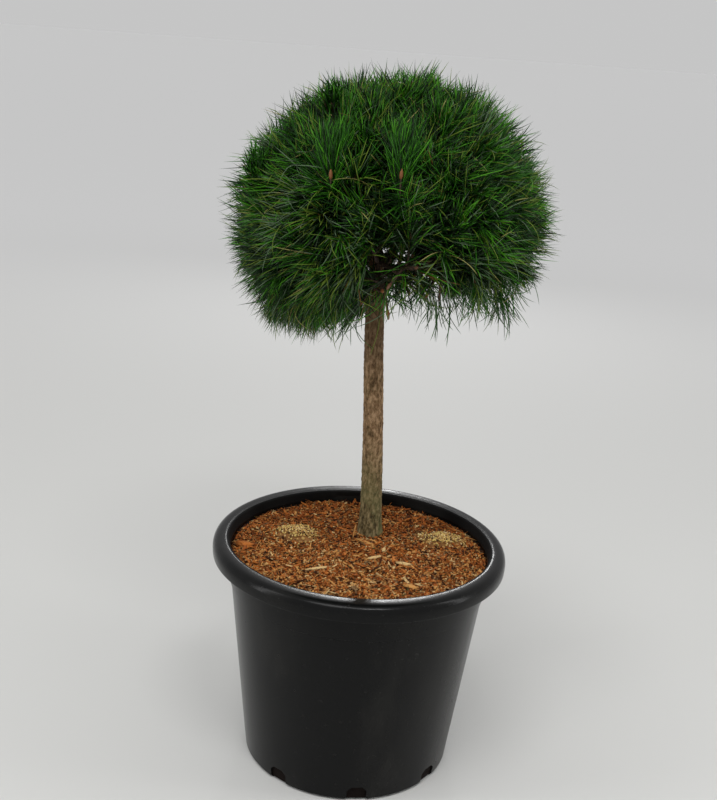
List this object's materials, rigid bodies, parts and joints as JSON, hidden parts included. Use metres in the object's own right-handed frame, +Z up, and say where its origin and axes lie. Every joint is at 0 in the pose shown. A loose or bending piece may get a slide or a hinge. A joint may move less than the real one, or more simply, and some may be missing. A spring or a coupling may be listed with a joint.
{
  "type": "potted mugo pine on a stem",
  "caption": "Mugo pine grafted on a bare upright stem, with a dense dome of long needles, in a round black nursery pot filled with bark and coir.",
  "frame": {"origin": "middle of the pot's flat underside, at the level of what it stands on", "axes": "+Z up along the pot's axis, +X to the right and -Y towards the viewer as the picture shows the plant"},
  "size_m": [0.4371, 0.4702, 0.9353],
  "materials": {
    "pot_plastic": "black, satin",
    "bark_and_coir": "loose, rough",
    "fertiliser_granules": "loose granules",
    "bark": "finely scaled bark",
    "needles": "satin"
  },
  "bodies": {
    "root": {"pot": "pot_plastic", "growing_medium": "bark_and_coir", "fertiliser_heap_left": "fertiliser_granules", "fertiliser_heap_right": "fertiliser_granules", "trunk": "bark", "bough_upper_1": "bark", "bough_upper_2": "bark", "bough_upper_3": "bark", "bough_upper_4": "bark", "bough_upper_5": "bark", "bough_lower_1": "bark", "bough_lower_2": "bark", "bough_lower_3": "bark", "bough_lower_4": "bark", "bough_lower_5": "bark", "bough_lower_6": "bark", "bough_lower_7": "bark", "foliage_top": "needles", "foliage_upper_1": "needles", "foliage_upper_2": "needles", "foliage_upper_3": "needles", "foliage_upper_4": "needles", "foliage_upper_5": "needles", "foliage_lower_1": "needles", "foliage_lower_2": "needles", "foliage_lower_3": "needles", "foliage_lower_4": "needles", "foliage_lower_5": "needles", "foliage_lower_6": "needles", "foliage_lower_7": "needles"}
  },
  "joints": []
}
